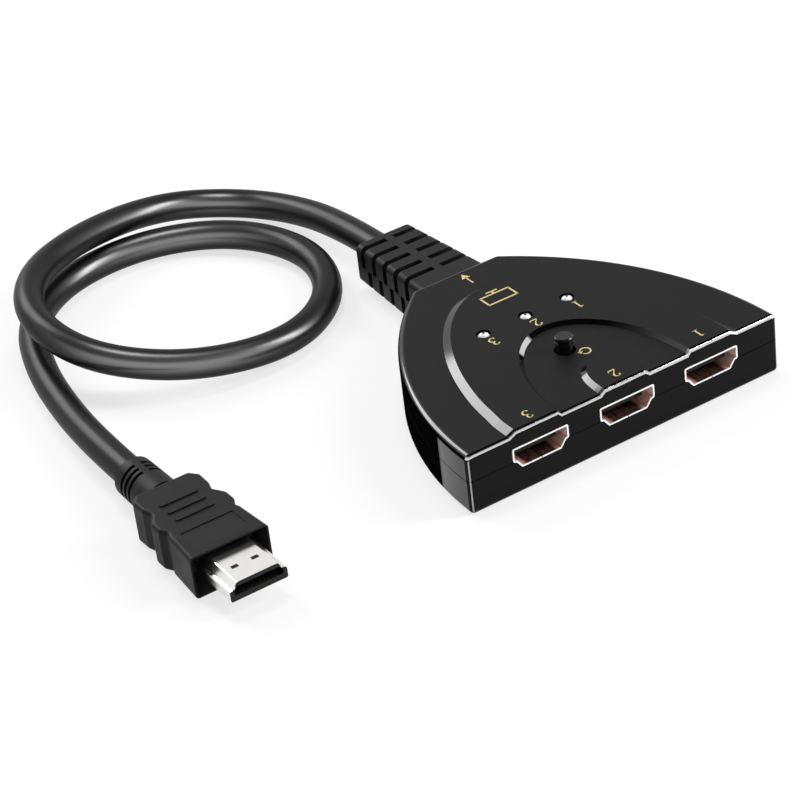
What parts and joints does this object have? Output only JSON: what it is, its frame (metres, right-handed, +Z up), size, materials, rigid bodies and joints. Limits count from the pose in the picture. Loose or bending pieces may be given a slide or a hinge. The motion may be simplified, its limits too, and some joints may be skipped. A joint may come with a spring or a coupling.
{
  "type": "video switch box",
  "caption": "Fan-shaped video switch box with input receptacles, a select button, indicator lights and a captive output lead that ends in a plug.",
  "frame": {"origin": "on the table, under the middle of the box that the housing and its strain relief fill", "axes": "+Z up; -Y is the way the port face looks; the lead leaves toward +Y; +X is toward input 1"},
  "size_m": [0.1447, 0.1606, 0.0187],
  "materials": {
    "cover_plastic": "moulded black, satin top and glossy edges",
    "button_plastic": "glossy black",
    "soft_black": "matt soft black",
    "jacket": "satin black",
    "bright_shell": "bright nickel plate",
    "insulator": "matt black",
    "contact_gold": "gold plated",
    "clear_lens": "clear, water white",
    "board": "green solder resist",
    "chip_black": "matt moulded",
    "ceramic": "fired ceramic",
    "tinned": "tinned",
    "steel": "plain",
    "core_insulation": "plain"
  },
  "bodies": {
    "housing": {"bottom_cover": "cover_plastic", "cable_inner_end": "jacket", "ceramic_capacitors": "ceramic", "chip_leads": "tinned", "chip_resistors": "chip_black", "circuit_board": "board", "core_wires": "core_insulation", "cover_screws": "steel", "indicator_1": "clear_lens", "indicator_2": "clear_lens", "indicator_3": "clear_lens", "indicator_leads": "tinned", "input_1_contacts": "contact_gold", "input_1_shell": "bright_shell", "input_1_tongue": "insulator", "input_2_contacts": "contact_gold", "input_2_shell": "bright_shell", "input_2_tongue": "insulator", "input_3_contacts": "contact_gold", "input_3_shell": "bright_shell", "input_3_tongue": "insulator", "memory_chips": "chip_black", "output_cable": "jacket", "plug_cable_end": "jacket", "plug_contacts": "contact_gold", "plug_core": "insulator", "plug_insulator": "insulator", "plug_overmold": "soft_black", "plug_shell": "bright_shell", "selector_chip": "chip_black", "strain_relief": "soft_black", "switch_base": "insulator", "switch_dome": "steel", "switch_plate": "steel", "switch_terminals": "tinned", "top_cover": "cover_plastic", "voltage_regulator": "chip_black"},
    "button": {"select_button": "button_plastic", "switch_plunger": "insulator"}
  },
  "joints": [
    {"name": "select_press", "type": "slide", "parent": "housing", "child": "button", "axis": [0, 0, -1], "range_m": [0, 0.00025], "stiffness_N_per_m": 4000}
  ]
}
